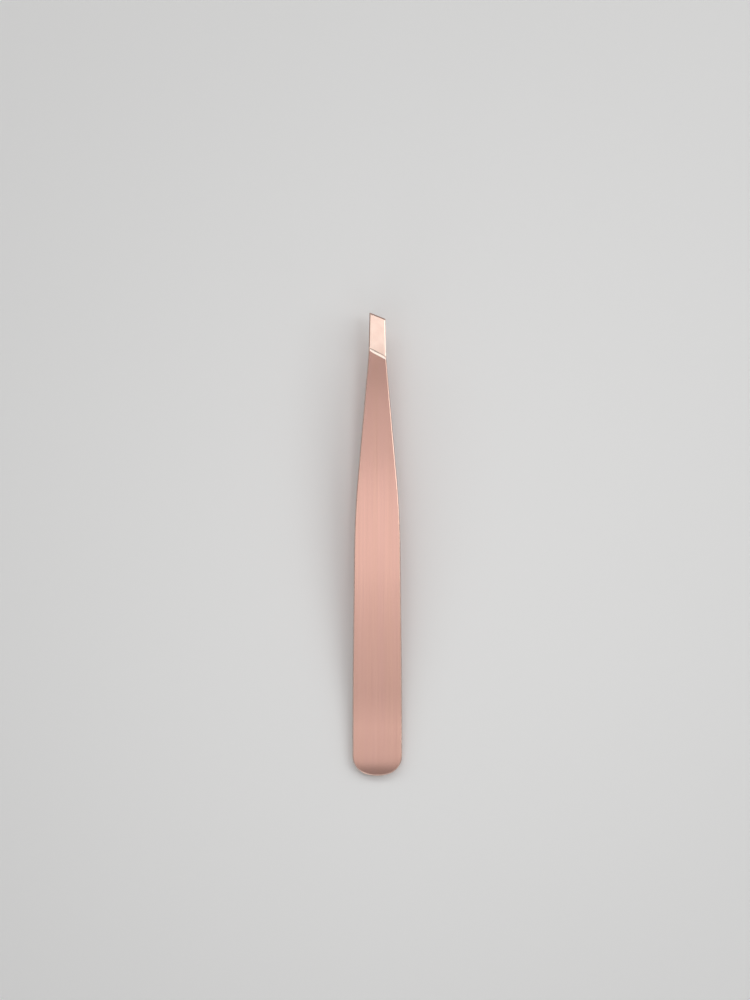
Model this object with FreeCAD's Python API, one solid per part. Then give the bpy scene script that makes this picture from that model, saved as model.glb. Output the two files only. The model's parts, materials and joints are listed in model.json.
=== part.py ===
import FreeCAD, Part
import math
import os

# Slant tweezers, in millimetres: two stamped and bent steel arms, joined at the heel by two spot
# welds, with slanted tips that are bevelled outside and ground flat inside.
#
# Each arm is built upright in the tool's own frame: x runs from the heel end to the tips, y across
# the width with the long corner of the tips at +y, and z = 0 is the plane midway between the arms.
# The finished tool then lies down at rest on the heel and the bow of its rear arm, tips towards +X.

# Outline of an arm, seen from the front
length = 95.0
heel_width = 10.16
heel_parallel = 14.7            # from the heel end to where the sides start to draw in
heel_side_radius = 800.0
heel_end_radius = 8.0
heel_corner_radius = 4.0
shoulder_width = 9.32
shoulder_to_tip = 41.3
shoulder_radius = 200.0
neck_width = 3.58
neck_to_tip = 8.8
neck_radius = 40.0
tip_width = 3.2

# Bend of an arm, seen from the side
arm_thickness = 1.0
heel_gap = 0.06                 # between the flat heels, where the weld spots hold them
bend_from_heel = 13.5           # corner of the bend that spreads the arms
bend_radius = 70.0
bow_spread = 9.8                # between the inner faces, at the corner of the bow
bow_to_tip = 33.6
bow_radius = 310.0
tip_spread = 6.5                # between the inner faces at the tips, arms free
heel_roll_length = 4.0          # the heel's outer face rolls down over its last stretch
heel_roll_radius = 20.0

# Slanted tips
end_slant = 22.0                # degrees between the end edge and a square end
facet_slant = 29.0              # degrees, the same for the line where the bevel starts
facet_length = 7.8              # along the long side
facet_step = 0.12               # the bevel starts below the arm's face
facet_step_run = 0.25
facet_side_width = 0.2          # narrow flats that break the bevel's two long sides
facet_side_drop = 0.07
tip_corner_round = 0.12
tip_edge = 0.3                  # thickness left at the slanted end
land_length = 2.6               # ground gripping land, inside the tips
land_clearance = 0.04           # between the two lands, arms closed

# Broken edges
outer_edge_round = 0.25
inner_edge_break = 0.12

# Spot welds
weld_diameter = 2.6
weld_depth = 0.35               # into each arm
weld_from_heel = 3.5
weld_pitch = 4.0
weld_count = 2
weld_clearance = 0.02

# The arms flex mostly just ahead of the welds
flex_from_heel = 12.0

# How far a cutter or a blank runs on past the metal that it meets
overrun = 4.0

X = FreeCAD.Vector(1, 0, 0)
Y = FreeCAD.Vector(0, 1, 0)
Z = FreeCAD.Vector(0, 0, 1)
ORIGIN = FreeCAD.Vector(0, 0, 0)


def direction(start, end):
    return (end - start).normalize()


def line(start, end):
    return Part.LineSegment(start, end).toShape()


def arc(start, middle, end):
    return Part.Arc(start, middle, end).toShape()


def prism(edges, depth):
    """A closed flat outline, pulled straight to a solid along depth."""
    wire = Part.Wire(Part.__sortEdges__(edges))
    return Part.Face(wire).extrude(depth)


# Paths are lists of (point, radius) in the XY plane. The two ends have no radius.


def half_turn(before, corner, after):
    return direction(before, corner).getAngle(direction(corner, after)) / 2


def fitted(path):
    """The same path, with any radius cut back that would use up a straight run beside it."""
    points = [point for point, _ in path]
    reach = [0.0] * len(path)
    for i in range(1, len(path) - 1):
        reach[i] = path[i][1] * math.tan(half_turn(*points[i - 1:i + 2]))
    share = [1.0] * len(path)
    for i in range(len(path) - 1):
        run = (points[i + 1] - points[i]).Length
        used = reach[i] + reach[i + 1]
        room = min(1.0, 0.95 * run / used)
        share[i] = min(share[i], room)
        share[i + 1] = min(share[i + 1], room)
    return [(point, radius * part) for (point, radius), part in zip(path, share)]


def beside(path, distance):
    """The path that runs parallel, distance to the left: its arcs keep their centres."""
    points = [point for point, _ in path]
    heads = [direction(a, b) for a, b in zip(points, points[1:])]
    lefts = [Z.cross(head) for head in heads]
    result = [(points[0] + lefts[0] * distance, 0.0)]
    for i in range(1, len(path) - 1):
        before, after = lefts[i - 1], lefts[i]
        shift = (before + after) * (distance / (1 + before.dot(after)))
        turns_left = heads[i - 1].cross(heads[i]).z > 0
        radius = path[i][1] - distance if turns_left else path[i][1] + distance
        result.append((points[i] + shift, radius))
    result.append((points[-1] + lefts[-1] * distance, 0.0))
    return result


def path_edges(path):
    """Straight runs joined by tangent arcs."""
    edges = []
    start = path[0][0]
    for (before, _), (corner, radius), (after, _) in zip(path, path[1:], path[2:]):
        into = direction(before, corner)
        out = direction(corner, after)
        half = half_turn(before, corner, after)
        reach = radius * math.tan(half)
        middle = corner + direction(into, out) * radius * (1 / math.cos(half) - 1)
        arc_start = corner - into * reach
        arc_end = corner + out * reach
        edges.append(line(start, arc_start))
        edges.append(arc(arc_start, middle, arc_end))
        start = arc_end
    edges.append(line(start, path[-1][0]))
    return edges


# Side view of the front arm. Its inner face carries the sizes, and the outer face runs beside it.


def inner_face_path():
    tip = FreeCAD.Vector(length, tip_spread / 2, 0)
    bow = FreeCAD.Vector(length - bow_to_tip, bow_spread / 2, 0)
    bend = FreeCAD.Vector(bend_from_heel, heel_gap / 2, 0)
    heel = FreeCAD.Vector(-overrun, heel_gap / 2, 0)
    past_tip = tip + direction(bow, tip) * overrun
    return fitted([(heel, 0.0), (bend, bend_radius), (bow, bow_radius), (past_tip, 0.0)])


def tip_rake():
    """How steeply the tips draw together, as an angle in the side view."""
    return math.atan2((bow_spread - tip_spread) / 2, bow_to_tip)


def flex_point():
    """Where the arm's flexing is centred, halfway through its thickness."""
    bend_start = bend_from_heel - bend_radius * math.tan(spread_angle() / 2)
    past_start = max(0.0, flex_from_heel - bend_start)
    lift = past_start ** 2 / (2 * bend_radius)
    return FreeCAD.Vector(flex_from_heel, 0, heel_gap / 2 + lift + arm_thickness / 2)


def spread_angle():
    """How steeply the arms part after the heel."""
    rise = (bow_spread - heel_gap) / 2
    return math.atan2(rise, length - bow_to_tip - bend_from_heel)


def land_start():
    """The rear edge of the gripping land, where it leaves the arm's inner face."""
    x = length - land_length
    return FreeCAD.Vector(x, 0, tip_spread / 2 + land_length * math.tan(tip_rake()))


def closing_angle():
    """The turn about the flex point that brings an arm's land flat against the other arm's."""
    reach = land_start() - flex_point()
    drop = flex_point().z - land_clearance / 2
    swing = math.hypot(reach.x, reach.z)
    return math.atan2(reach.z, reach.x) + math.asin(drop / swing)


def heel_roll_angle():
    return math.asin(heel_roll_length / heel_roll_radius)


def blank_side_view():
    """The bent strip, seen from the side, with the heel's outer face rolled down at its end."""
    inner = inner_face_path()
    outer = beside(inner, arm_thickness)
    roll = heel_roll_angle()
    top = heel_gap / 2 + arm_thickness
    roll_corner = FreeCAD.Vector(heel_roll_length - heel_roll_radius * math.tan(roll / 2), top, 0)
    roll_end = roll_corner - FreeCAD.Vector(math.cos(roll), math.sin(roll), 0) * overrun
    outer[0:1] = [(roll_end, 0.0), (roll_corner, heel_roll_radius)]
    ends = [line(inner[0][0], roll_end), line(inner[-1][0], outer[-1][0])]
    return path_edges(inner) + path_edges(outer) + ends


# Outline of an arm, seen from the front


def side_path():
    """The +y side, from past the tip to the heel's corner."""
    tip = FreeCAD.Vector(length, tip_width / 2, 0)
    neck = FreeCAD.Vector(length - neck_to_tip, neck_width / 2, 0)
    shoulder = FreeCAD.Vector(length - shoulder_to_tip, shoulder_width / 2, 0)
    heel = FreeCAD.Vector(heel_parallel, heel_width / 2, 0)
    past_tip = tip + direction(neck, tip) * overrun
    path = [(past_tip, 0.0), (neck, neck_radius), (shoulder, shoulder_radius)]
    return fitted(path + [(heel, heel_side_radius), (heel_corner_centre() + Y * heel_corner_radius, 0.0)])


def heel_corner_centre():
    """The corner arc touches the straight side and, from inside, the arc of the heel's end."""
    y = heel_width / 2 - heel_corner_radius
    x = heel_end_radius - math.sqrt((heel_end_radius - heel_corner_radius) ** 2 - y ** 2)
    return FreeCAD.Vector(x, y, 0)


def blank_outline():
    corner = heel_corner_centre()
    end_centre = X * heel_end_radius
    outward = direction(end_centre, corner)
    corner_start = corner + Y * heel_corner_radius
    corner_middle = corner + (Y + outward).normalize() * heel_corner_radius
    corner_end = end_centre + outward * heel_end_radius
    side = path_edges(side_path()) + [arc(corner_start, corner_middle, corner_end)]
    other_side = [edge.mirror(ORIGIN, Y) for edge in side]
    corner_end_mirrored = FreeCAD.Vector(corner_end.x, -corner_end.y, 0)
    heel_end = arc(corner_end, ORIGIN, corner_end_mirrored)
    past_tip = side_path()[0][0]
    tip_end = line(past_tip, FreeCAD.Vector(past_tip.x, -past_tip.y, 0))
    return side + other_side + [heel_end, tip_end]


# The front arm


def face_role(face):
    """Which side of the bent blank a face is on, from its normal at its middle."""
    u0, u1, v0, v1 = face.ParameterRange
    normal = face.normalAt((u0 + u1) / 2, (v0 + v1) / 2)
    if abs(normal.z) < 0.5:
        return "side"
    return "outer" if normal.z > 0 else "inner"


def edges_between(solid, *roles):
    """The edges where faces of these roles meet, apart from those of the end past the tip."""
    found = []
    for edge in solid.Edges:
        here = {face_role(face) for face in solid.ancestorsOfType(edge, Part.Face)}
        if here == set(roles) and edge.CenterOfMass.x < length + overrun / 2:
            found.append(edge)
    return found


def bent_blank():
    """The stamped outline, bent to the side view, rounded outside and chamfered inside."""
    height = bow_spread + 4 * arm_thickness
    stamped = prism(blank_outline(), Z * height)
    stamped.translate(Z * (-arm_thickness))
    width = heel_width + 2 * overrun
    strip = prism(blank_side_view(), Z * width)
    strip.rotate(ORIGIN, X, 90)
    strip.translate(Y * (width / 2))
    blank = stamped.common(strip)
    heel_end = arm_thickness - heel_roll_radius * (1 - math.cos(heel_roll_angle()))
    room = min(1.0, 0.8 * heel_end / (outer_edge_round + inner_edge_break))
    blank = blank.makeFillet(outer_edge_round * room, edges_between(blank, "side", "outer"))
    return blank.makeChamfer(inner_edge_break * room, edges_between(blank, "side", "inner"))


def slanted_end_cutter():
    """Everything past the slanted end, which turns about the long corner of the tip."""
    height = 2 * (bow_spread + arm_thickness)
    cutter = Part.makeBox(2 * overrun, 4 * tip_width + 2 * overrun, height)
    cutter.translate(FreeCAD.Vector(length, -2 * tip_width - overrun, -height / 2))
    cutter.rotate(FreeCAD.Vector(length, tip_width / 2, 0), Z, -end_slant)
    return cutter


def shoulder_axes():
    """Where the bevel starts: the line across the arm, the way ahead of it, and up from the arm's face."""
    rake = tip_rake()
    slant = math.radians(facet_slant)
    along = FreeCAD.Vector(math.cos(rake), 0, -math.sin(rake))
    up = FreeCAD.Vector(math.sin(rake), 0, math.cos(rake))
    across = along * math.sin(slant) + Y * math.cos(slant)
    ahead = along * math.cos(slant) - Y * math.sin(slant)
    return across, ahead, up


def shoulder_point():
    """The shoulder's end on the long side of the arm, before any edge is broken."""
    rake = tip_rake()
    along = FreeCAD.Vector(math.cos(rake), 0, -math.sin(rake))
    face_height = tip_spread / 2 + arm_thickness / math.cos(rake)
    return FreeCAD.Vector(length, tip_width / 2, face_height) - along * facet_length


def step_foot():
    """Where the step down from the arm's face ends and the bevel proper starts."""
    _, ahead, up = shoulder_axes()
    return shoulder_point() + ahead * facet_step_run - up * facet_step


def facet_direction():
    """Straight down the bevel, which reaches the height of the tip's edge at the long corner."""
    _, ahead, up = shoulder_axes()
    rake = tip_rake()
    face_height = tip_spread / 2 + arm_thickness / math.cos(rake)
    edge_height = land_start().z + land_length * math.tan(closing_angle()) + tip_edge
    drop = (face_height - edge_height) * math.cos(rake) - facet_step
    run = facet_length * math.cos(math.radians(facet_slant)) - facet_step_run
    return (ahead * run - up * drop).normalize()


def outline_of(corners):
    return [line(a, b) for a, b in zip(corners, corners[1:] + corners[:1])]


def across_tip(corners):
    """A profile, given by its corners, pulled both ways along the shoulder's line."""
    across, _, _ = shoulder_axes()
    reach = neck_width + overrun
    return prism(outline_of(corners), across * (2 * reach)).translate(across * (-reach))


def facet_cutter():
    """The bevel outside the tip: a small step down, then a flat that thins the arm to the tip edge."""
    _, _, up = shoulder_axes()
    shoulder = shoulder_point()
    past_tip = step_foot() + facet_direction() * (facet_length + overrun)
    lift = up * (2 * arm_thickness)
    return across_tip([shoulder, step_foot(), past_tip, past_tip + lift, shoulder + lift])


def ahead_of_step():
    """The room past the plane of the step, above and below the bevel."""
    _, ahead, _ = shoulder_axes()
    slope = (step_foot() - shoulder_point()).normalize() * (2 * arm_thickness)
    above, below = shoulder_point() - slope, shoulder_point() + slope
    past_tip = ahead * (facet_length + overrun)
    return across_tip([above, below, below + past_tip, above + past_tip])


def facet_side_cutter(side):
    """Breaks one long side of the bevel with a narrow flat, which starts at the step."""
    across, _, _ = shoulder_axes()
    bevel_normal = facet_direction().cross(across)
    side_run = FreeCAD.Vector(neck_to_tip, side * (tip_width - neck_width) / 2, 0)
    outward = Z.cross(side_run).normalize() * side
    edge = outward.cross(bevel_normal).normalize() * side

    below_corner = FreeCAD.Vector(length, side * tip_width / 2, 0)
    rise = (step_foot() - below_corner).dot(bevel_normal) / bevel_normal.z
    corner = below_corner + Z * rise
    on_bevel = corner - outward * facet_side_width
    on_side = corner - Z * facet_side_drop
    flat = direction(on_side, on_bevel) * arm_thickness
    section = [on_bevel + flat, on_side - flat, corner + (outward + Z) * arm_thickness]
    run = facet_length + neck_width + overrun
    wedge = prism(outline_of(section), edge * (run + overrun)).translate(edge * (-run))
    return wedge.common(ahead_of_step()).Solids[0]


def land_cutter():
    """Everything past the midway plane once the arm is closed, turned back to the free arm."""
    depth = arm_thickness + tip_spread
    cutter = Part.makeBox(land_length + 3 * overrun, heel_width + 2 * overrun, depth)
    back = land_start().x - overrun
    cutter.translate(FreeCAD.Vector(back, -heel_width / 2 - overrun, land_clearance / 2 - depth))
    cutter.rotate(flex_point(), Y, -math.degrees(closing_angle()))
    return cutter


def weld_lens(growth):
    """A spot weld: a lens across the gap between the heels, grown evenly by growth."""
    radius = (weld_diameter ** 2 / 4 + weld_depth ** 2) / (2 * weld_depth)
    centre = Z * (radius - weld_depth)
    upper = Part.makeSphere(radius + growth, -centre)
    return Part.makeSphere(radius + growth, centre).common(upper).Solids[0]


def weld_lenses(growth):
    places = [weld_from_heel + i * weld_pitch for i in range(weld_count)]
    return [weld_lens(growth).translate(X * x) for x in places]


def tip_corner_edges(arm):
    """The two short upright edges where the slanted end meets the sides."""
    return [edge for edge in edges_between(arm, "side") if edge.CenterOfMass.x > length - tip_width]


def front_arm():
    arm = bent_blank()
    tip_cutters = [facet_cutter(), facet_side_cutter(1), facet_side_cutter(-1)]
    tip_cutters += [slanted_end_cutter(), land_cutter()]
    for cutter in tip_cutters + weld_lenses(weld_clearance):
        arm = arm.cut(cutter)
    arm = arm.Solids[0].removeSplitter()
    return arm.makeFillet(tip_corner_round, tip_corner_edges(arm)).Solids[0]


def rear_arm():
    return front_arm().mirror(ORIGIN, Z)


# The whole tool at rest


def rest_turn():
    """Degrees about Y that lay the rear arm's heel roll and bow on one level surface."""
    path = inner_face_path()
    (bend, _), (bow, radius), (past_tip, _) = path[1:4]
    half = half_turn(bend, bow, past_tip)
    inward = direction(direction(bend, bow), direction(bow, past_tip))
    bow_centre = bow + inward * (radius / math.cos(half))
    bow_outer_radius = radius + arm_thickness
    roll_height = heel_gap / 2 + arm_thickness - heel_roll_radius
    roll_centre = FreeCAD.Vector(heel_roll_length, roll_height, 0)
    reach = roll_centre - bow_centre
    turn = math.asin((bow_outer_radius - heel_roll_radius) / reach.Length)
    return math.degrees(math.atan2(reach.y, -reach.x) - turn)


def at_rest(pieces):
    """The pieces turned to rest, with the origin under the middle of their box."""
    for shape in pieces.values():
        shape.rotate(ORIGIN, Y, rest_turn())
    box = Part.Compound(list(pieces.values())).optimalBoundingBox()
    for shape in pieces.values():
        shape.translate(-FreeCAD.Vector(box.Center.x, box.Center.y, box.ZMin))
    return pieces


def tweezers():
    pieces = {"front_arm": front_arm(), "rear_arm": rear_arm()}
    names = ["weld_spot_heel", "weld_spot_throat"]
    pieces.update(zip(names, weld_lenses(0.0)))
    return at_rest(pieces)


if __name__ == "__main__":
    os.makedirs("parts", exist_ok=True)
    for node, shape in tweezers().items():
        shape.exportStep(f"parts/{node}.step")
        print(node, shape.ShapeType, shape.isValid(), round(shape.Volume, 3), shape.BoundBox)
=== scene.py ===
"""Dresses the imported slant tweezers: both arms as fine meshes with their finishes, and a plain studio."""

import json
import math

import bpy
import numpy as np
from bpy.props import FloatProperty, FloatVectorProperty, PointerProperty
from mathutils import Matrix, Vector


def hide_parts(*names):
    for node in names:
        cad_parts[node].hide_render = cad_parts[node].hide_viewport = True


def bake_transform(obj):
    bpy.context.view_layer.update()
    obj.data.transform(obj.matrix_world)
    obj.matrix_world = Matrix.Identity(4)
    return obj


bl_info = {
    "name": "Slant Tweezers",
    "version": (1, 0, 0),
    "blender": (4, 5, 0),
    "location": "3D View > Sidebar > Tweezers",
    "description": "Builds and finishes a pair of slant tweezers around its packed frame",
    "category": "Object",
}

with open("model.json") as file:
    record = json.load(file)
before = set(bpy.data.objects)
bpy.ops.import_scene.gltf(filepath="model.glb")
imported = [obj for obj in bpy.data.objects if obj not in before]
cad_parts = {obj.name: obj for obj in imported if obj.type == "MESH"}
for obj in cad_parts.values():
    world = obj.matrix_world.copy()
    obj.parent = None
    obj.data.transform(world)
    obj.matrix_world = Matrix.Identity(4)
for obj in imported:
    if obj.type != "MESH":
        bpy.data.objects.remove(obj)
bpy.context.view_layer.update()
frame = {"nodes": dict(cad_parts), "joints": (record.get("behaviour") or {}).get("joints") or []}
JOINTS = {joint["name"]: joint for joint in frame["joints"]}
CLOSING = math.radians(JOINTS["front_flex"]["range_deg"][1])


def length_setting(name, description, default):
    return FloatProperty(name=name, description=description, default=default, unit="LENGTH", precision=5)


def angle_setting(name, description, degrees):
    return FloatProperty(name=name, description=description, default=math.radians(degrees), unit="ROTATION")


def colour_setting(name, description, default):
    return FloatVectorProperty(
        name=name, description=description, default=default, subtype="COLOR", min=0.0, max=1.0
    )


def power_setting(name, description, default):
    return FloatProperty(name=name, description=description, default=default, min=0.0, unit="POWER")


def strength_setting(name, description, default):
    return FloatProperty(name=name, description=description, default=default, min=0.0)


def share_setting(name, description, default):
    return FloatProperty(
        name=name, description=description, default=default, min=0.0, max=1.0, subtype="FACTOR"
    )


class TweezersArmSettings(bpy.types.PropertyGroup):
    """Sizes of one arm, in metres, measured from the heel end along the midway plane"""

    length: length_setting("Length", "Heel end to long corner of the tip", 0.095)
    heel_width: length_setting("Heel width", "Width of the parallel heel", 0.01016)
    heel_parallel: length_setting("Parallel heel", "Heel end to where the sides draw in", 0.0147)
    heel_side_radius: length_setting("Heel side radius", "Where the sides start to draw in", 0.8)
    heel_end_radius: length_setting("Heel end radius", "Arc across the heel's end", 0.008)
    heel_corner_radius: length_setting("Heel corner radius", "Arc between end and side", 0.004)
    shoulder_width: length_setting("Shoulder width", "Width where the taper starts", 0.00932)
    shoulder_to_tip: length_setting("Shoulder to tip", "Taper's start to the long corner", 0.0413)
    shoulder_radius: length_setting("Shoulder radius", "Arc at the taper's start", 0.2)
    neck_width: length_setting("Neck width", "Width where the taper ends", 0.00358)
    neck_to_tip: length_setting("Neck to tip", "Taper's end to the long corner", 0.0088)
    neck_radius: length_setting("Neck radius", "Arc at the taper's end", 0.04)
    tip_width: length_setting("Tip width", "Width of the slanted tip", 0.0032)
    thickness: length_setting("Thickness", "Thickness of the bent strip", 0.001)
    heel_gap: length_setting("Heel gap", "Between the two flat heels", 0.00006)
    bend_from_heel: length_setting("Bend", "Heel end to the bend's corner", 0.0135)
    bend_radius: length_setting("Bend radius", "Arc that spreads the arms", 0.07)
    bow_spread: length_setting("Bow spread", "Between the inner faces at the bow's corner", 0.0098)
    bow_to_tip: length_setting("Bow to tip", "Bow's corner to the long corner", 0.0336)
    bow_radius: length_setting("Bow radius", "Arc of the bow", 0.31)
    tip_spread: length_setting("Tip spread", "Between the inner faces at the tips", 0.0065)
    heel_roll_length: length_setting("Heel roll", "Stretch over which the heel's face rolls down", 0.004)
    heel_roll_radius: length_setting("Heel roll radius", "Arc of the rolled heel", 0.02)
    flex_from_heel: length_setting("Flex point", "Heel end to where the arm's bending is centred", 0.012)
    flex_length: length_setting("Flex length", "Stretch over which the arm visibly bends", 0.02)


class TweezersTipSettings(bpy.types.PropertyGroup):
    """Sizes of the slanted tips and of the broken edges"""

    end_slant: angle_setting("End slant", "End edge against a square end", 22.0)
    bevel_slant: angle_setting("Bevel slant", "Line where the bevel starts, against a square line", 29.0)
    bevel_length: length_setting("Bevel length", "Along the long side of the tip", 0.0074)
    bevel_step: length_setting("Bevel step", "Drop from the arm's face to the bevel", 0.00016)
    rim_width: length_setting("Rim width", "Polished rim behind the step", 0.00045)
    rim_fall: angle_setting("Rim fall", "Slope of the rim", 3.2)
    step_width: length_setting("Step width", "Width of the step's slope", 0.0002)
    band_width: length_setting("Band width", "Polished band along the bevel's sides", 0.0002)
    band_fall: angle_setting("Band fall", "Slope of the band", 19.0)
    edge_thickness: length_setting("Edge thickness", "Thickness left at the slanted end", 0.0003)
    end_break: length_setting("End break", "Width of the small flat that breaks the slanted end", 0.00023)
    end_break_fall: angle_setting("End break fall", "Slope of that flat", 32.0)
    land_length: length_setting("Land length", "Ground gripping land inside the tip", 0.0026)
    corner_radius: length_setting("Corner radius", "At the two corners of the tip", 0.00012)
    outer_round: length_setting("Outer round", "Long edges of the outer face", 0.00025)
    inner_round: length_setting("Inner round", "Long edges of the inner face", 0.00012)
    tip_outer_round: length_setting("Tip outer round", "Outer edges of the bevelled tip", 0.00005)
    tip_inner_round: length_setting("Tip inner round", "Inner edges of the bevelled tip", 0.00004)


class TweezersFinishSettings(bpy.types.PropertyGroup):
    """Colours and sheen of the metal and of the floor"""

    plating: colour_setting("Plating", "Rose-gold plating of the satin faces", (0.87, 0.52, 0.42))
    plating_deep: colour_setting("Deep plating", "The plating in the brush marks", (0.78, 0.45, 0.37))
    plating_pink: colour_setting("Pink plating", "Bands where the plating turns pinker", (0.84, 0.49, 0.43))
    # painted highlight: this colour is paler than the plating so that the polished bevel looks as its
    # highlight does
    bright: colour_setting("Bright plating", "The plating where it is polished", (0.95, 0.75, 0.65))
    # painted highlight: near white, so that the rim behind the step draws a bright line
    rim: colour_setting("Rim plating", "The plating on the rim behind the step", (0.99, 0.88, 0.80))
    # painted shade: these two colours are darker than the plating so that the steep sides and the end's small
    # flat show a dark line
    side: colour_setting("Side plating", "The plating on the sheared sides", (0.55, 0.34, 0.28))
    side_deep_painted_shade: colour_setting("Deep side plating", "In the marks of the sides", (0.42, 0.25, 0.20))
    weld: colour_setting("Weld metal", "Bare metal of the spot welds", (0.42, 0.40, 0.38))
    floor: colour_setting("Floor", "Plain pale floor", (0.92, 0.917, 0.91))
    satin_roughness: share_setting("Satin roughness", "Brushed faces", 0.245)
    bright_roughness: share_setting("Bright roughness", "Polished bevel", 0.09)
    edge_roughness: share_setting("Edge roughness", "Tumbled edges", 0.24)
    side_roughness: share_setting("Side roughness", "Sheared sides", 0.36)
    land_roughness: share_setting("Land roughness", "Ground lands inside the tips", 0.22)
    brush_depth: length_setting("Brush depth", "Depth of the lengthwise brush marks", 0.000006)
    polish_depth: length_setting("Polish depth", "Depth of the wheel's lines on the bevel", 0.0000012)
    tumble_depth: length_setting("Tumbling depth", "Depth of the tumbled edges' dimples", 0.000004)
    grind_depth: length_setting("Grinding depth", "Depth of the lands' cross lines", 0.000004)
    shear_depth: length_setting("Shearing depth", "Depth of the sides' lines", 0.000005)
    weld_depth: length_setting("Weld depth", "Depth of the weld metal's grain", 0.000008)


class TweezersStudioSettings(bpy.types.PropertyGroup):
    """Floor, camera and lights"""

    floor_size: length_setting("Floor size", "Side of the square floor", 6.0)
    camera_distance: length_setting("Camera distance", "From the midway plane", 0.7)
    view_height: length_setting("View height", "Height that the view takes in at the tool", 0.2056)
    view_lead: length_setting("View lead", "From the tool's middle ahead to the view's", 0.00915)
    view_side: length_setting("View side", "From the tool's middle across to the view's", 0.00047)
    key: power_setting("Key", "Soft light close above the arm", 0.0202)
    accent: power_setting("Accent", "Hot middle of the key", 0.0037)
    bevel_card: power_setting("Bevel card", "Small light that the polished bevel mirrors", 0.0064)
    right_box: power_setting("Right box", "Softbox that draws the right edges", 0.34)
    band_card: power_setting("Band card", "Softbox that the bevel's right band mirrors", 0.13)
    heel_glint: power_setting("Heel glint", "Draws a glint on the heel's edge", 0.3)
    tip_fill: power_setting("Tip fill", "Wide panel ahead of the tips that fills the floor", 3.9)
    heel_fill: power_setting("Heel fill", "Wide panel behind the heel that fills the floor", 0.9)
    ambience: strength_setting("Ambience", "Strength of the surroundings overhead", 0.29)
    horizon: strength_setting("Horizon", "Strength of the backdrop low down", 0.72)
    fade_start: angle_setting("Fade start", "Height at which the backdrop starts to fade", 5.0)
    fade_end: angle_setting("Fade end", "Height at which only the ambience is left", 13.0)


# Shapes

NEARBY = 1e-6                   # either side of a point, for the slope there
LAND_BLEND = 0.00001            # over which the inner face runs into the gripping land


class RoundedLine:
    """Straight runs joined by tangent arcs, drawn from the heel towards the tips as height over x.

    corners holds (x, height, radius). A line that runs beside it, lift to the left, keeps its arcs' centres.
    """

    def __init__(self, corners, lift=0.0):
        slopes = [math.atan2(b[1] - a[1], b[0] - a[0]) for a, b in zip(corners, corners[1:])]
        self.arcs = []
        self.runs = []
        for (x, height, _), slope in zip(corners, slopes):
            start = (x - lift * math.sin(slope), height + lift * math.cos(slope))
            self.runs.append((start, math.tan(slope)))
        for (x, height, radius), before, after in zip(corners[1:], slopes, slopes[1:]):
            side = math.copysign(1.0, after - before)
            reach = radius * math.tan(abs(after - before) / 2)
            start_x = x - reach * math.cos(before)
            start_height = height - reach * math.sin(before)
            centre_x = start_x - side * radius * math.sin(before)
            centre_height = start_height + side * radius * math.cos(before)
            beside = radius - side * lift
            first = centre_x + side * beside * math.sin(before)
            last = centre_x + side * beside * math.sin(after)
            self.arcs.append((first, last, centre_x, centre_height, side, beside))

    def height(self, x):
        x = np.asarray(x, float)
        (run_x, run_height), slope = self.runs[0]
        result = run_height + slope * (x - run_x)
        for (first, last, centre_x, centre_height, side, radius), run in zip(self.arcs, self.runs[1:]):
            root = np.sqrt(np.maximum(radius**2 - (x - centre_x) ** 2, 0.0))
            (run_x, run_height), slope = run
            result = np.where(x > first, centre_height - side * root, result)
            result = np.where(x > last, run_height + slope * (x - run_x), result)
        return result

    def slope(self, x):
        return (self.height(x + NEARBY) - self.height(x - NEARBY)) / (2 * NEARBY)


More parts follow.
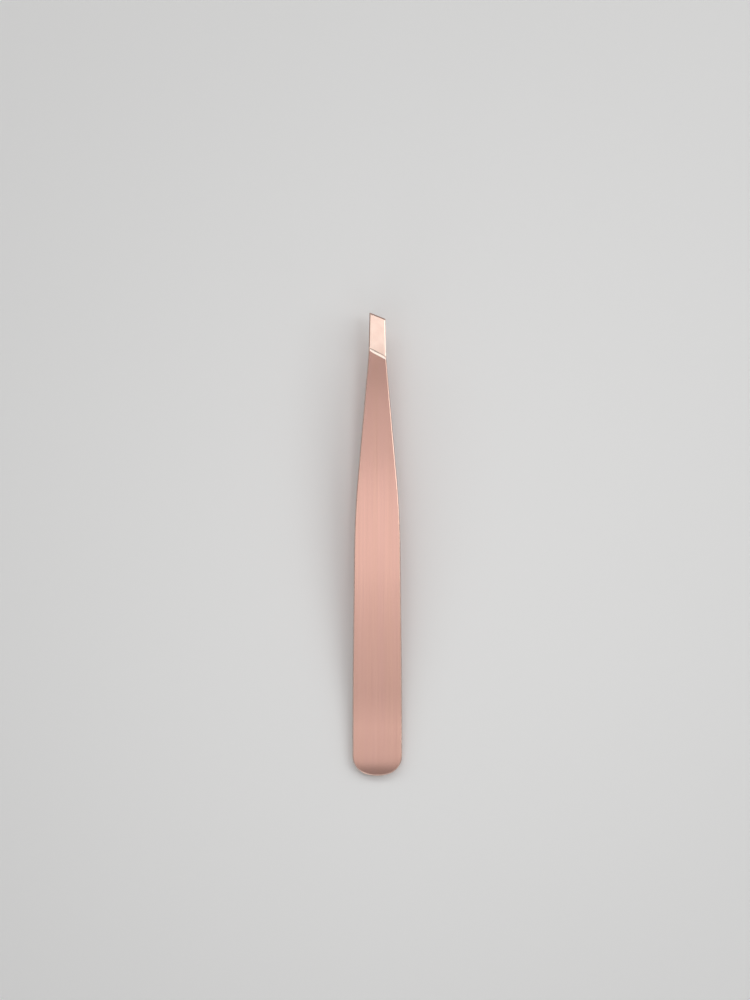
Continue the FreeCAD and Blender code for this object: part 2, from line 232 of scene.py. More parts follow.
class ArmShape:
    """The surfaces of one arm in the tool's axes: x from the heel end, y across, z off the midway plane."""

    def __init__(self, arm, tip):
        self.arm = arm
        self.tip = tip
        half = arm.heel_width / 2
        self.side = RoundedLine([
            (0.0, half, 0.0),
            (arm.heel_parallel, half, arm.heel_side_radius),
            (arm.length - arm.shoulder_to_tip, arm.shoulder_width / 2, arm.shoulder_radius),
            (arm.length - arm.neck_to_tip, arm.neck_width / 2, arm.neck_radius),
            (arm.length, arm.tip_width / 2, 0.0),
        ])
        bent = [
            (0.0, arm.heel_gap / 2, 0.0),
            (arm.bend_from_heel, arm.heel_gap / 2, arm.bend_radius),
            (arm.length - arm.bow_to_tip, arm.bow_spread / 2, arm.bow_radius),
            (arm.length, arm.tip_spread / 2, 0.0),
        ]
        self.inner_face = RoundedLine(bent)
        self.outer_face = RoundedLine(bent, arm.thickness)
        self.rake = math.atan2((arm.bow_spread - arm.tip_spread) / 2, arm.bow_to_tip)
        self.land_x = arm.length - tip.land_length
        self.land_height = arm.tip_spread / 2 + tip.land_length * math.tan(self.rake)

        corner_y = half - arm.heel_corner_radius
        between_centres = arm.heel_end_radius - arm.heel_corner_radius
        corner_x = arm.heel_end_radius - math.sqrt(between_centres**2 - corner_y**2)
        self.heel_corner = (corner_x, corner_y)
        end_angle = math.atan2(corner_y, corner_x - arm.heel_end_radius)
        self.heel_middle_angle = (math.pi / 2 + end_angle) / 2
        self.heel_end_angle = end_angle

        self.shoulder_x = arm.length - tip.bevel_length * math.cos(self.rake)
        tip_face = arm.tip_spread / 2 + arm.thickness / math.cos(self.rake)
        land_at_tip = self.land_height + tip.land_length * math.tan(CLOSING)
        drop = (tip_face - land_at_tip - tip.edge_thickness) * math.cos(self.rake) - tip.bevel_step
        self.bevel_fall = drop / (tip.bevel_length * math.cos(tip.bevel_slant) - tip.step_width)

    def resting_slope(self):
        """Slope of the line that touches an arm's rolled heel and its bow, on which the tool lies."""
        bow_x, bow_height, _, bow_radius = self.outer_face.arcs[1][2:]
        arm = self.arm
        heel_height = arm.heel_gap / 2 + arm.thickness - arm.heel_roll_radius
        along, rise = bow_x - arm.heel_roll_length, bow_height - heel_height
        less = math.asin((arm.heel_roll_radius - bow_radius) / math.hypot(along, rise))
        return math.atan2(rise, along) - less

    def ahead_of_shoulder(self, x, y):
        """Distance past the line where the bevel starts, square to that line."""
        along = (x - self.shoulder_x) / math.cos(self.rake)
        slant = self.tip.bevel_slant
        return along * math.cos(slant) - (y - self.arm.tip_width / 2) * math.sin(slant)

    def bevel_depth(self, ahead):
        """How far the outer face lies below the strip's own face: rim, step, then the long bevel."""
        tip = self.tip
        rim_end = tip.rim_width * math.tan(tip.rim_fall)
        rim = rim_end * np.clip(1 + ahead / tip.rim_width, 0, 1)
        step = (tip.bevel_step - rim_end) * np.clip(ahead / tip.step_width, 0, 1)
        return rim + step + self.bevel_fall * np.maximum(ahead - tip.step_width, 0)

    def end_break_depth(self, x, y):
        """How far the small flat along the slanted end lies below the bevel."""
        tip = self.tip
        end = self.arm.length - (self.arm.tip_width / 2 - y) * math.tan(tip.end_slant)
        from_end = (end - x) * math.cos(tip.end_slant)
        return np.clip(tip.end_break - from_end, 0, tip.end_break) * math.tan(tip.end_break_fall)

    def outer(self, x, y):
        """Height of the outer face."""
        arm, tip = self.arm, self.tip
        x = np.asarray(x, float)
        roll = np.clip(arm.heel_roll_length - x, 0, None)
        rolled = arm.heel_roll_radius - np.sqrt(arm.heel_roll_radius**2 - roll**2)
        ahead = self.ahead_of_shoulder(x, y)
        from_side = np.maximum(self.side.height(x) - np.abs(y), 0)
        band = np.clip(tip.band_width - from_side, 0, None) * math.tan(tip.band_fall)
        band = band * np.clip(ahead / tip.step_width, 0, 1)
        cut = self.bevel_depth(ahead) / math.cos(self.rake) + band + self.end_break_depth(x, y)
        return self.outer_face.height(x) - rolled - cut

    def inner(self, x):
        """Height of the inner face, ground to the gripping land near the tip."""
        land = self.land_height + (np.asarray(x, float) - self.land_x) * math.tan(CLOSING)
        face = self.inner_face.height(x)
        return (face + land + np.sqrt((face - land) ** 2 + LAND_BLEND**2)) / 2


def smooth_share(value):
    value = min(max(value, 0.0), 1.0)
    return value * value * (3 - 2 * value)


# Places of the mesh's rows: END_ROWS back from the slanted end, SHOULDER_ROWS ahead of the bevel's line, in
# pairs close beside each crease, SIDE_COLUMNS in from a long edge, and the others as steps along the arm

END_ROWS = (0.0002, 0.00024, 0.000258, 0.0003, 0.00045, 0.0007, 0.001, 0.0014, 0.0018, 0.0022,
            0.0025, 0.0028, 0.0032, 0.0037, 0.0043, 0.005, 0.0057, 0.0064, 0.007)
SHOULDER_ROWS = (0.0005, 0.00034, 0.00026, 0.000222, 0.000206, 0.000194, 0.000178, 0.0001, 0.000022, 0.000006,
                 -0.000006, -0.000022, -0.00009, -0.00018, -0.00027, -0.00036, -0.00043, -0.000444,
                 -0.000456, -0.00047, -0.0005, -0.0007, -0.0011, -0.0016)
SIDE_COLUMNS = (0.0, 0.0001, 0.0002, 0.00024, 0.00045)
MIDDLE_COLUMNS = 14
BODY_ROW = 0.001
HEEL_ROW = 0.0006
HEEL_CORNER_ROWS = 7
TIP_CORNER_SHARES = (1.0, 0.66, 0.33, 0.0)
NEAR_TIP = 0.0001
SIDE_SHARE = 0.1                # of a narrow row, at most, between two of its side columns
SETTLING_ROUNDS = 6             # in which a slanted row finds the outline
SQUARE_FROM = 0.07              # rows lie square to the arm behind this x
BULGE_FROM = 0.014              # and follow the heel's end ever more behind this one


class ArmGrid:
    """Rows from the slanted tip to the heel's end, each from the +y side across to the -y side."""

    def __init__(self, shape):
        self.shape = shape
        self.lefts = []
        self.rights = []
        self.bulges = []
        self.add_tip_rows()
        self.add_straight_rows()
        self.add_heel_rows()
        self.last_row = len(self.lefts) - 1
        self.last_column = 2 * len(SIDE_COLUMNS) + MIDDLE_COLUMNS - 1

    def add_row(self, left, right, bulge=0.0):
        """left and right hold (x, y, outward x, outward y)."""
        self.lefts.append(left)
        self.rights.append(right)
        self.bulges.append(bulge)

    def side_point(self, middle, slant, side):
        """Where a row through middle, slanted by the tangent slant, meets one side of the outline."""
        x = middle
        for _ in range(SETTLING_ROUNDS):
            x = middle + side * slant * float(self.shape.side.height(x))
        slope = float(self.shape.side.slope(x))
        norm = math.hypot(1.0, slope)
        return (x, side * float(self.shape.side.height(x)), -slope / norm, side / norm)

    def add_tip_rows(self):
        """The corner arcs of the tip: half of each belongs to the side, half to the slanted end."""
        arm, tip = self.shape.arm, self.shape.tip
        half = arm.tip_width / 2
        slope = float(self.shape.side.slope(arm.length - NEAR_TIP))
        end_out = np.array([math.cos(tip.end_slant), -math.sin(tip.end_slant)])
        self.end_corners = []
        for side in (1.0, -1.0):
            side_out = np.array([-slope, side]) / math.hypot(1.0, slope)
            side_point = np.array([arm.length, side * half])
            end_point = np.array([arm.length, half])
            # the two offset lines meet at the corner arc's centre
            facts = np.array([side_out, end_out])
            away = np.array([side_out @ side_point, end_out @ end_point]) - tip.corner_radius
            centre = np.linalg.solve(facts, away)
            first = math.atan2(side_out[1], side_out[0])
            last = math.atan2(end_out[1], end_out[0])
            middle = (first + last) / 2
            self.end_corners.append((centre, first, middle, last))
        for share in TIP_CORNER_SHARES:
            self.add_row(*(self.corner_point(corner, share) for corner in self.end_corners))

    def corner_point(self, corner, share):
        """A point on the side's half of a corner arc: 0 at the side, 1 at the arc's middle."""
        centre, first, middle, _ = corner
        angle = first + (middle - first) * share
        out = np.array([math.cos(angle), math.sin(angle)])
        x, y = centre + out * self.shape.tip.corner_radius
        return (x, y, out[0], out[1])

    def add_straight_rows(self):
        arm, tip = self.shape.arm, self.shape.tip
        end_tan, bevel_tan = math.tan(tip.end_slant), math.tan(tip.bevel_slant)
        flat = math.cos(self.shape.rake)
        end = arm.length - arm.tip_width / 2 * end_tan
        shoulder = self.shape.shoulder_x - flat * arm.tip_width / 2 * bevel_tan
        for back in END_ROWS:
            middle = end - back
            slant = end_tan + (bevel_tan - end_tan) * back / (end - shoulder)
            self.add_row(self.side_point(middle, slant, 1.0), self.side_point(middle, slant, -1.0))
        for ahead in SHOULDER_ROWS:
            middle = shoulder + flat * ahead / math.cos(tip.bevel_slant)
            self.add_row(self.side_point(middle, bevel_tan, 1.0), self.side_point(middle, bevel_tan, -1.0))
        x = middle
        while x - BODY_ROW > BULGE_FROM:
            x -= BODY_ROW
            slant = bevel_tan * smooth_share((x - SQUARE_FROM) / (middle - SQUARE_FROM))
            self.add_row(self.side_point(x, slant, 1.0), self.side_point(x, slant, -1.0))
        self.straight_end = x

    def bulge_share(self, x):
        corner_x, _ = self.shape.heel_corner
        last = corner_x + self.shape.arm.heel_corner_radius * math.cos(self.shape.heel_middle_angle)
        return smooth_share((BULGE_FROM - x) / (BULGE_FROM - last))

    def add_heel_rows(self):
        corner_x, corner_y = self.shape.heel_corner
        radius = self.shape.arm.heel_corner_radius
        count = round((self.straight_end - corner_x) / HEEL_ROW)
        for i in range(1, count):
            x = self.straight_end + (corner_x - self.straight_end) * i / count
            row = [self.side_point(x, 0.0, side) for side in (1.0, -1.0)]
            self.add_row(*row, self.bulge_share(x))
        for i in range(HEEL_CORNER_ROWS + 1):
            angle = math.pi / 2 + (self.shape.heel_middle_angle - math.pi / 2) * i / HEEL_CORNER_ROWS
            out_x, out_y = math.cos(angle), math.sin(angle)
            x, y = corner_x + radius * out_x, corner_y + radius * out_y
            self.add_row((x, y, out_x, out_y), (x, -y, out_x, -out_y), self.bulge_share(x))

    def columns(self, width):
        """Places across a row, 0 at +y and 1 at -y: fine beside the long edges, even between them."""
        near = [min(distance / width, SIDE_SHARE * (i + 1)) for i, distance in enumerate(SIDE_COLUMNS)]
        near[0] = 0.0
        inner = near[-1]
        steps = MIDDLE_COLUMNS + 1
        middle = [inner + (1 - 2 * inner) * k / steps for k in range(1, steps)]
        return near + middle + [1 - place for place in reversed(near)]

    def heel_end_points(self):
        """Along the heel's end, from the +y corner arc's middle to the other's, ends left out."""
        corner_x, corner_y = self.shape.heel_corner
        arm = self.shape.arm
        top = self.lefts[-1][1]
        limit = arm.heel_end_radius * math.sin(self.shape.heel_end_angle)
        points = []
        for place in self.columns(2 * top)[1:-1]:
            y = top * (1 - 2 * place)
            if abs(y) > limit:
                out_y = (abs(y) - corner_y) / arm.heel_corner_radius
                out_x = -math.sqrt(1 - out_y**2)
                x = corner_x + arm.heel_corner_radius * out_x
            else:
                out_y = abs(y) / arm.heel_end_radius
                out_x = -math.sqrt(1 - out_y**2)
                x = arm.heel_end_radius * (1 + out_x)
            points.append((x, y, out_x, math.copysign(out_y, y)))
        return points

    def tip_end_points(self):
        """Along the slanted end, from the -y corner arc's middle to the other's, ends left out."""
        (long_centre, _, long_middle, last), (short_centre, _, short_middle, _) = self.end_corners
        radius = self.shape.tip.corner_radius
        out = np.array([math.cos(last), math.sin(last)])
        start, end = np.array(self.lefts[0][:2]), np.array(self.rights[0][:2])
        width = float(np.linalg.norm(end - start))
        points = []
        for place in self.columns(width)[1:-1]:
            guess = start + (end - start) * place
            point, normal = self.on_slanted_end(guess, out, radius, long_centre, short_centre)
            points.append((point[0], point[1], normal[0], normal[1]))
        return points[::-1]

    def on_slanted_end(self, guess, out, radius, long_centre, short_centre):
        """The point of the end, straight or on a corner arc, that lies ahead of guess."""
        along = np.array([-out[1], out[0]])
        for centre, side in ((long_centre, 1.0), (short_centre, -1.0)):
            past = (guess - centre) @ along * side
            if past > 0:
                lean = min(past / radius, 1.0)
                normal = along * side * lean + out * math.sqrt(1 - lean**2)
                return centre + normal * radius, normal
        straight = long_centre + out * radius
        return straight + along * ((guess - straight) @ along), out

    def outline(self):
        """The closed outline of the arm as (x, y, outward x, outward y), starting at the long corner."""
        loop = list(self.lefts) + self.heel_end_points() + list(reversed(self.rights)) + self.tip_end_points()
        return np.array(loop)

    def loop_index(self, row, column):
        """The outline's point at a place on the border of the grid."""
        rows, columns = self.last_row, self.last_column
        if column == 0:
            return row
        if row == rows:
            return rows + column
        if column == columns:
            return rows + columns + rows - row
        return 2 * rows + 2 * columns - column


ROUND_STEPS = {"inner": 4, "outer": 7}
STEEP_STEP = 3                  # the outer round's first steps still belong to the side
SATIN, BRIGHT_HIGHLIGHT, EDGE, LAND, SHADED_SIDE, RIM_HIGHLIGHT = range(6)


class ArmMesh:
    """One arm: a rolled edge all round its outline, closed by a grid on each face."""

    def __init__(self, shape):
        self.shape = shape
        self.grid = ArmGrid(shape)
        self.loop = self.grid.outline()
        self.points = []
        self.faces = []
        self.finishes = []
        self.add_edge_loops()
        self.add_grid(outer=False)
        self.add_grid(outer=True)

    def rounds(self):
        """Edge radii at each point of the outline, finer round the bevelled tip."""
        tip = self.shape.tip
        ahead = self.shape.ahead_of_shoulder(self.loop[:, 0], self.loop[:, 1])
        share = np.clip((ahead + tip.rim_width / 2) / (tip.rim_width / 2 + tip.step_width), 0, 1)
        share = share * share * (3 - 2 * share)
        outer = tip.outer_round + (tip.tip_outer_round - tip.outer_round) * share
        inner = tip.inner_round + (tip.tip_inner_round - tip.inner_round) * share
        return outer, inner

    def add_edge_loops(self):
        """Loops of points from the inner face, round the arm's edge, to the outer face."""
        outer_round, inner_round = self.rounds()
        self.loops = []
        for i in range(ROUND_STEPS["inner"] + 1):
            angle = math.pi / 2 * (1 - i / ROUND_STEPS["inner"])
            self.add_loop(inner_round * (1 - math.cos(angle)), inner_round * (1 - math.sin(angle)), False)
        for i in range(ROUND_STEPS["outer"] + 1):
            angle = math.pi / 2 * i / ROUND_STEPS["outer"]
            self.add_loop(outer_round * (1 - math.cos(angle)), outer_round * (1 - math.sin(angle)), True)
        count = len(self.loop)
        outer_start = ROUND_STEPS["inner"] + 1
        for step, (low, high) in enumerate(zip(self.loops, self.loops[1:])):
            # the steep steps of the outer round take the darker side plating, painted shade
            finish = EDGE if step < ROUND_STEPS["inner"] or step >= outer_start + STEEP_STEP else SHADED_SIDE
            for i in range(count):
                j = (i + 1) % count
                self.add_face([low + i, low + j, high + j, high + i], finish)

    def add_loop(self, inset, rise, outer):
        x = self.loop[:, 0] - self.loop[:, 2] * inset
        y = self.loop[:, 1] - self.loop[:, 3] * inset
        height = self.shape.outer(x, y) - rise if outer else self.shape.inner(x) + rise
        self.loops.append(len(self.points))
        self.points.extend(zip(x, y, height))

    def add_face(self, corners, finish):
        """Adds a face. The tip's edges take the bevel's colour, paled as a painted highlight, but for the
        small flat along the slanted end, which takes the darker side plating as painted shade.
        """
        x, y, _ = np.mean([self.points[i] for i in corners], axis=0)
        if finish in (EDGE, BRIGHT_HIGHLIGHT) and self.shape.end_break_depth(x, y) > 0:
            finish = SHADED_SIDE
        elif finish == EDGE and self.shape.ahead_of_shoulder(x, y) > -self.shape.tip.rim_width:
            finish = BRIGHT_HIGHLIGHT
        self.faces.append(corners)
        self.finishes.append(finish)

    def add_grid(self, outer):
        """The face's own points between two border points of each row, bulged to follow the heel's end."""
        grid, shape = self.grid, self.shape
        rows, columns = grid.last_row, grid.last_column
        border = self.loops[-1] if outer else self.loops[0]

        def border_point(row, column):
            return np.array(self.points[border + grid.loop_index(row, column)])

        heel_end = [border_point(rows, k)[:2] for k in range(columns + 1)]
        cells = np.zeros((rows + 1, columns + 1), int)
        for row in range(rows + 1):
            left, right = border_point(row, 0)[:2], border_point(row, columns)[:2]
            width = float(np.linalg.norm(right - left))
            places = grid.columns(width)
            for column in range(columns + 1):
                if row in (0, rows) or column in (0, columns):
                    cells[row, column] = border + grid.loop_index(row, column)
                    continue
                place = places[column]
                straight = heel_end[0] + (heel_end[-1] - heel_end[0]) * place
                bulge = (heel_end[column] - straight) * grid.bulges[row]
                x, y = left + (right - left) * place + bulge
                height = shape.outer(x, y) if outer else shape.inner(x)
                cells[row, column] = len(self.points)
                self.points.append((x, y, float(height)))
        for row in range(rows):
            for column in range(columns):
                corners = [cells[row, column], cells[row + 1, column],
                           cells[row + 1, column + 1], cells[row, column + 1]]
                self.add_face(corners if outer else corners[::-1], self.face_finish(corners, outer))

    def face_finish(self, corners, outer):
        x, y, _ = np.mean([self.points[i] for i in corners], axis=0)
        if outer:
            ahead = self.shape.ahead_of_shoulder(x, y)
            # the rim behind the step takes the near-white rim colour, a painted highlight
            return SATIN if ahead < -self.shape.tip.rim_width else RIM_HIGHLIGHT if ahead < 0 else BRIGHT_HIGHLIGHT
        return LAND if x > self.shape.land_x else SATIN


def tool_axes(shape):
    """The tool's own axes in the row's frame: it lies on the rear arm, with its flex points at the joints."""
    between = (Vector(JOINTS["front_flex"]["pos_m"]) + Vector(JOINTS["rear_flex"]["pos_m"])) / 2
    turn = Matrix.Rotation(-shape.resting_slope(), 4, "Y")
    return Matrix.Translation(between) @ turn @ Matrix.Translation((-shape.arm.flex_from_heel, 0, 0))


def make_arm(name, side, materials):
    """A finished arm. side is 1 for the front arm and -1 for the rear one, its mirror image."""
    scene = bpy.context.scene
    shape = ArmShape(scene.tweezers_arm, scene.tweezers_tip)
    made = ArmMesh(shape)
    points = [(x, y, side * z) for x, y, z in made.points]
    faces = made.faces if side > 0 else [corners[::-1] for corners in made.faces]
    mesh = bpy.data.meshes.new(name)
    mesh.from_pydata(points, [], faces)
    for material in materials:
        mesh.materials.append(material)
    mesh.polygons.foreach_set("material_index", made.finishes)
    mesh.shade_smooth()
    mesh.transform(tool_axes(shape))
    mesh.validate()
    mesh.update()
    piece = bpy.data.objects.new(name, mesh)
    scene.collection.objects.link(piece)
    return piece


# Finishes


class Value:
    """An output that varies over a surface. Sums and products of it add Math nodes."""

    def __init__(self, nodes, socket):
        self.nodes = nodes
        self.socket = socket

    def math(self, operation, *terms):
        sockets = dict(enumerate(terms))
        return self.nodes.add("ShaderNodeMath", {"operation": operation}, sockets)["Value"]

    def contrast(self, gain):
        """Spread about the middle, 0.5."""
        return self * gain - (gain - 1) / 2

    def __add__(self, other):
        return self.math("ADD", self, other)

    def __radd__(self, other):
        return self.math("ADD", other, self)

    def __sub__(self, other):
        return self.math("SUBTRACT", self, other)

    def __rsub__(self, other):
        return self.math("SUBTRACT", other, self)

    def __mul__(self, other):
        return self.math("MULTIPLY", self, other)

    def __rmul__(self, other):
        return self.math("MULTIPLY", other, self)


class Nodes:
    """The nodes of a material or of the surroundings, with the one way in which they are added."""

    def __init__(self, owner):
        owner.use_nodes = True
        self.tree = owner.node_tree
        self.tree.nodes.clear()

    def add(self, kind, settings=None, sockets=None):
        """Adds a node: its settings first, then its sockets' values or links. Returns its outputs by name."""
        node = self.tree.nodes.new(kind)
        for name, setting in (settings or {}).items():
            setattr(node, name, setting)
        for name, value in (sockets or {}).items():
            if isinstance(value, Value):
                self.tree.links.new(value.socket, node.inputs[name])
            else:
                node.inputs[name].default_value = value
        return {output.name: Value(self, output) for output in node.outputs if output.enabled}


def with_alpha(colour):
    """A colour as a socket takes it: another node's as it is, a setting's with its alpha."""
    return colour if isinstance(colour, Value) else (*colour, 1.0)


class Finish(Nodes):
    """A metal's finish or the floor's, as a material."""

    def __init__(self, name):
        self.material = bpy.data.materials.new(name)
        super().__init__(self.material)

    def stretched_noise(self, stretch, detail=3.0, roughness=0.55):
        """Noise with its own number of features per metre along the tool, across it and upwards."""
        place = self.add("ShaderNodeTexCoord")["Object"]
        scaled = self.add("ShaderNodeVectorMath", {"operation": "MULTIPLY"}, {0: place, 1: stretch})["Vector"]
        return self.add("ShaderNodeTexNoise", {}, {
            "Vector": scaled, "Scale": 1.0, "Detail": detail, "Roughness": roughness,
        })["Fac"]

    def mix(self, share, first, second):
        """From the first colour to the second."""
        sockets = {"Factor": share, "A": with_alpha(first), "B": with_alpha(second)}
        return self.add("ShaderNodeMix", {"data_type": "RGBA"}, sockets)["Result"]

    def relief(self, depth, height):
        """The normals of a surface that is marked to this depth."""
        sockets = {"Strength": 1.0, "Distance": depth, "Height": height}
        return self.add("ShaderNodeBump", {}, sockets)["Normal"]

    def surface(self, **sockets):
        """The shader that closes the material. Underscores stand for spaces in its sockets' names."""
        named = {name.replace("_", " "): value for name, value in sockets.items()}
        shader = self.add("ShaderNodeBsdfPrincipled", {}, named)["BSDF"]
        self.add("ShaderNodeOutputMaterial", {}, {"Surface": shader})
        return self.material


def satin_plating(settings):
    """Rose-gold plating over lengthwise brush marks: fine scratches, broader streaks and soft clouds."""
    finish = Finish("satin_plating")
    fine = finish.stretched_noise((70.0, 9500.0, 70.0), detail=4.0)
    broad = finish.stretched_noise((22.0, 1900.0, 22.0), detail=2.0)
    cloud = finish.stretched_noise((90.0, 160.0, 90.0), detail=2.0)
    bands = finish.stretched_noise((12.0, 520.0, 12.0), detail=1.0)
    streaks = fine * 0.55 + broad * 0.45
    marked = finish.mix(streaks.contrast(2.0), settings.plating_deep, settings.plating)
    tint = finish.mix(bands.contrast(2.4) * 0.5, marked, settings.plating_pink)
    roughness = settings.satin_roughness - 0.07 + (1 - streaks) * 0.1 + cloud * 0.04
    marks = finish.relief(settings.brush_depth, fine * 0.7 + broad * 0.6)
    return finish.surface(Base_Color=tint, Metallic=1.0, Roughness=roughness, Normal=marks)


def polished_bevel_painted_highlight(settings):
    """The bevel and its bands: plating paled as a painted highlight, with the faint cross lines of the
    polishing wheel.
    """
    finish = Finish("polished_bevel_painted_highlight")
    lines = finish.stretched_noise((5200.0, 800.0, 900.0))
    cloud = finish.stretched_noise((600.0, 600.0, 600.0), detail=2.0)
    roughness = settings.bright_roughness + lines * 0.05 + cloud * 0.04
    between = [(a + b) / 2 for a, b in zip(settings.bright, settings.plating)]
    tint = finish.mix(cloud, settings.bright, between)
    marks = finish.relief(settings.polish_depth, lines)
    return finish.surface(Base_Color=tint, Metallic=1.0, Roughness=roughness, Normal=marks)


def tumbled_edge(settings):
    """Rounded edges: the plating burnished by tumbling, with a little uneven sheen, partly painted highlight
    where patches take the paler bevel colour.
    """
    finish = Finish("tumbled_edge")
    dimples = finish.stretched_noise((1800.0, 1800.0, 5200.0))
    cloud = finish.stretched_noise((150.0, 150.0, 900.0), detail=2.0)
    tint = finish.mix(cloud, settings.plating, settings.bright)
    roughness = settings.edge_roughness - 0.04 + cloud * 0.1
    marks = finish.relief(settings.tumble_depth, dimples)
    return finish.surface(Base_Color=tint, Metallic=1.0, Roughness=roughness, Normal=marks)


def ground_land(settings):
    """The gripping land: ground across the tip, so that its lines run from side to side."""
    finish = Finish("ground_land")
    lines = finish.stretched_noise((14000.0, 260.0, 400.0), detail=4.0)
    # the ground lines take the paler bevel colour, partly a painted highlight
    tint = finish.mix(lines, settings.plating, settings.bright)
    roughness = settings.land_roughness + lines * 0.12
    marks = finish.relief(settings.grind_depth, lines)
    return finish.surface(Base_Color=tint, Metallic=1.0, Roughness=roughness, Normal=marks)


def sheared_side_painted_shade(settings):
    """The sheared sides: the same plating on rougher metal, so duller, painted darker as shade for the dark
    line along the edges, with fine cross lines.
    """
    finish = Finish("sheared_side_painted_shade")
    lines = finish.stretched_noise((4200.0, 900.0, 260.0))
    cloud = finish.stretched_noise((140.0, 140.0, 500.0), detail=2.0)
    tint = finish.mix(cloud * 0.6 + lines * 0.4, settings.side_deep_painted_shade, settings.side)
    roughness = settings.side_roughness - 0.05 + lines * 0.1
    marks = finish.relief(settings.shear_depth, lines)
    return finish.surface(Base_Color=tint, Metallic=1.0, Roughness=roughness, Normal=marks)


def polished_rim_painted_highlight(settings):
    """The narrow rim behind the step, rubbed to the highest shine, its plating paled almost to white as a
    painted highlight.
    """
    finish = Finish("polished_rim_painted_highlight")
    cloud = finish.stretched_noise((500.0, 500.0, 500.0), detail=2.0)
    tint = finish.mix(cloud, settings.rim, settings.bright)
    roughness = cloud * 0.05 + (settings.bright_roughness - 0.02)
    return finish.surface(Base_Color=tint, Metallic=1.0, Roughness=roughness)


# in the order of SATIN, BRIGHT_HIGHLIGHT, EDGE, LAND, SHADED_SIDE and RIM_HIGHLIGHT
# the bevel's and the rim's colours hold painted highlight, the side's painted shade
ARM_FINISHES = (satin_plating, polished_bevel_painted_highlight, tumbled_edge, ground_land, sheared_side_painted_shade, polished_rim_painted_highlight)


def weld_metal(settings):
    """Bare, once molten metal: dull, with a fine grain."""
    finish = Finish("weld_metal")
    grain = finish.stretched_noise((6000.0, 6000.0, 6000.0))
    tint = finish.mix(grain, settings.weld, [part * 1.3 for part in settings.weld])
    marks = finish.relief(settings.weld_depth, grain)
    return finish.surface(Base_Color=tint, Metallic=1.0, Roughness=grain * 0.2 + 0.35, Normal=marks)


def plain_floor(settings):
    """Matt, with a fine grain in its sheen."""
    finish = Finish("plain_floor")
    grain = finish.stretched_noise((900.0, 900.0, 900.0), detail=2.0)
    return finish.surface(Base_Color=with_alpha(settings.floor), Roughness=grain * 0.1 + 0.6)


class TWEEZERS_OT_arms(bpy.types.Operator):
    """Builds both arms, the rear one as the mirror image of the front one"""

    bl_idname = "tweezers.arms"
    bl_label = "Arms"

    def execute(self, context):
        settings = context.scene.tweezers_arm
        finishes = context.scene.tweezers_finish
        materials = [make(finishes) for make in ARM_FINISHES]
        axes = tool_axes(ArmShape(settings, context.scene.tweezers_tip))
        for body, side in (("front_arm", 1), ("rear_arm", -1)):
            piece = make_arm("dressed_" + body, side, materials)
            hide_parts(body)
            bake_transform(piece)
        return {"FINISHED"}


class TWEEZERS_OT_weld_spots(bpy.types.Operator):
    """Gives the two spot welds inside the heel their bare metal"""

    bl_idname = "tweezers.weld_spots"
    bl_label = "Spot welds"

    def execute(self, context):
        metal = weld_metal(context.scene.tweezers_finish)
        for node in ("weld_spot_heel", "weld_spot_throat"):
            mesh = frame["nodes"][node].data
            mesh.materials.clear()
            mesh.materials.append(metal)
        return {"FINISHED"}


# Studio

SENSOR_WIDTH = 36.0             # of the camera, in millimetres as its lens is
NEAREST, FURTHEST = 0.01, 20.0  # that the camera sees


def add_area_light(name, power, size, axes, place, target):
    """A rectangle of light, its first side along the tool and its second across it."""
    data = bpy.data.lights.new(name, "AREA")
    data.shape = "RECTANGLE"
    data.size, data.size_y = size
    data.energy = power
    light = bpy.data.objects.new(name, data)
    back = (Vector(place) - Vector(target)).normalized()
    across = back.cross((1, 0, 0)).normalized()
    turn = Matrix((across.cross(back), across, back)).transposed().to_4x4()
    light.matrix_world = axes @ Matrix.Translation(place) @ turn
    light.visible_camera = False
    bpy.context.scene.collection.objects.link(light)


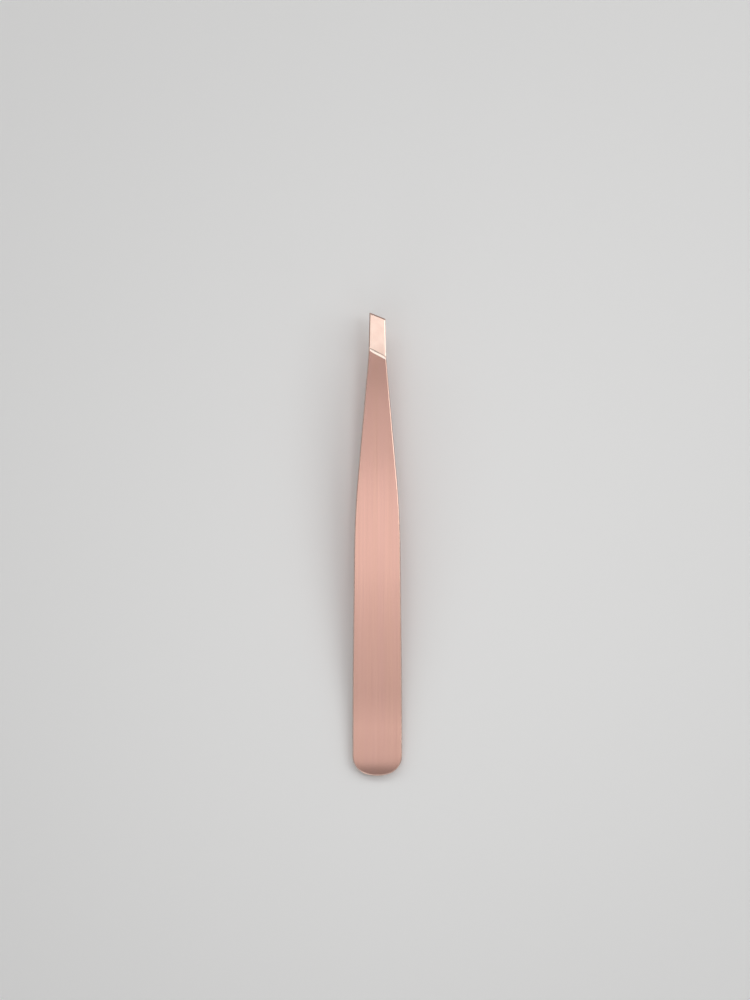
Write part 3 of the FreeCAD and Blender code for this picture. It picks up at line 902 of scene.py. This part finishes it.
class TWEEZERS_OT_stage(bpy.types.Operator):
    """Adds the floor, the lights and the camera that looks square on to the front arm, tips up"""

    bl_idname = "tweezers.stage"
    bl_label = "Studio"

    def execute(self, context):
        scene = context.scene
        studio = scene.tweezers_studio
        axes = tool_axes(ArmShape(scene.tweezers_arm, scene.tweezers_tip))
        middle = Vector((scene.tweezers_arm.length / 2, 0, 0))
        self.add_floor(scene, studio)
        self.add_lights(axes, studio)
        self.add_camera(scene, axes, middle, studio)
        self.add_surroundings(scene, studio)
        return {"FINISHED"}

    def add_floor(self, scene, studio):
        half = studio.floor_size / 2
        mesh = bpy.data.meshes.new("floor")
        corners = [(-half, -half, 0), (half, -half, 0), (half, half, 0), (-half, half, 0)]
        mesh.from_pydata(corners, [], [(0, 1, 2, 3)])
        mesh.materials.append(plain_floor(scene.tweezers_finish))
        floor = bpy.data.objects.new("floor", mesh)
        scene.collection.objects.link(floor)

    def add_lights(self, axes, studio):
        """Each light's power, sides, place and the point it faces, in the tool's axes."""
        heel, tip_root = (0.0, 0.0, 0.0), (0.09, 0.0, 0.0)
        lights = {
            "key": (studio.key, (0.128, 0.12), (0.03, 0.0, 0.126), (0.03, 0.0, 0.0)),
            "accent": (studio.accent, (0.05, 0.08), (0.033, 0.0, 0.1255), (0.033, 0.0, 0.0)),
            "bevel_card": (studio.bevel_card, (0.02, 0.12), (0.121, -0.03, 0.122), (0.091, -0.03, 0.0)),
            "right_box": (studio.right_box, (0.14, 0.3), (0.075, -0.35, 0.44), (0.06, 0.0, 0.0)),
            "band_card": (studio.band_card, (0.12, 0.3), (0.215, -0.35, 0.44), tip_root),
            "heel_glint": (studio.heel_glint, (0.3, 0.22), (-0.8, 0.21, 0.32), heel),
            "tip_fill": (studio.tip_fill, (0.34, 2.4), (0.75, 0.0, 0.62), (0.05, 0.0, 0.0)),
            "heel_fill": (studio.heel_fill, (0.34, 2.4), (-0.72, 0.0, 0.62), heel),
        }
        for name, (power, size, place, target) in lights.items():
            add_area_light(name, power, size, axes, place, target)

    def add_camera(self, scene, axes, middle, studio):
        data = bpy.data.cameras.new("camera")
        data.sensor_width = SENSOR_WIDTH
        data.lens = SENSOR_WIDTH * studio.camera_distance / studio.view_height
        data.clip_start, data.clip_end = NEAREST, FURTHEST
        camera = bpy.data.objects.new("camera", data)
        place = middle + Vector((studio.view_lead, studio.view_side, studio.camera_distance))
        tips_up = Matrix(((0, 1, 0), (-1, 0, 0), (0, 0, 1))).to_4x4()
        camera.matrix_world = axes @ Matrix.Translation(place) @ tips_up
        scene.collection.objects.link(camera)
        scene.camera = camera

    def add_surroundings(self, scene, studio):
        """A backdrop that is bright low down and fades to the ambience overhead."""
        world = bpy.data.worlds.new("studio")
        nodes = Nodes(world)
        direction = nodes.add("ShaderNodeTexCoord")["Generated"]
        height = nodes.add("ShaderNodeSeparateXYZ", {}, {"Vector": direction})["Z"]
        strength = nodes.add("ShaderNodeMapRange", {"interpolation_type": "SMOOTHSTEP"}, {
            "Value": height,
            "From Min": math.sin(studio.fade_start), "From Max": math.sin(studio.fade_end),
            "To Min": studio.horizon, "To Max": studio.ambience,
        })["Result"]
        white = (1.0, 1.0, 1.0, 1.0)
        backdrop = nodes.add("ShaderNodeBackground", {}, {"Color": white, "Strength": strength})["Background"]
        nodes.add("ShaderNodeOutputWorld", {}, {"Surface": backdrop})
        scene.world = world
        scene.view_settings.view_transform = "Standard"


class TWEEZERS_PT_panel(bpy.types.Panel):
    """Lists the pieces of the tweezers"""

    bl_label = "Slant Tweezers"
    bl_idname = "TWEEZERS_PT_panel"
    bl_space_type = "VIEW_3D"
    bl_region_type = "UI"
    bl_category = "Tweezers"

    def draw(self, context):
        for operator in OPERATORS:
            self.layout.operator(operator.bl_idname)
        for group in SETTINGS:
            box = self.layout.box()
            for name in SETTINGS[group].__annotations__:
                box.prop(getattr(context.scene, group), name)


OPERATORS = (TWEEZERS_OT_arms, TWEEZERS_OT_weld_spots, TWEEZERS_OT_stage)
SETTINGS = {
    "tweezers_arm": TweezersArmSettings,
    "tweezers_tip": TweezersTipSettings,
    "tweezers_finish": TweezersFinishSettings,
    "tweezers_studio": TweezersStudioSettings,
}


def register():
    for name, group in SETTINGS.items():
        bpy.utils.register_class(group)
        setattr(bpy.types.Scene, name, PointerProperty(type=group))
    for made in (*OPERATORS, TWEEZERS_PT_panel):
        bpy.utils.register_class(made)


def unregister():
    for made in (TWEEZERS_PT_panel, *reversed(OPERATORS)):
        bpy.utils.unregister_class(made)
    for name, group in SETTINGS.items():
        delattr(bpy.types.Scene, name)
        bpy.utils.unregister_class(group)


def main():
    register()
    bpy.ops.tweezers.arms()
    bpy.ops.tweezers.weld_spots()
    bpy.ops.tweezers.stage()


if __name__ == "__main__":
    main()
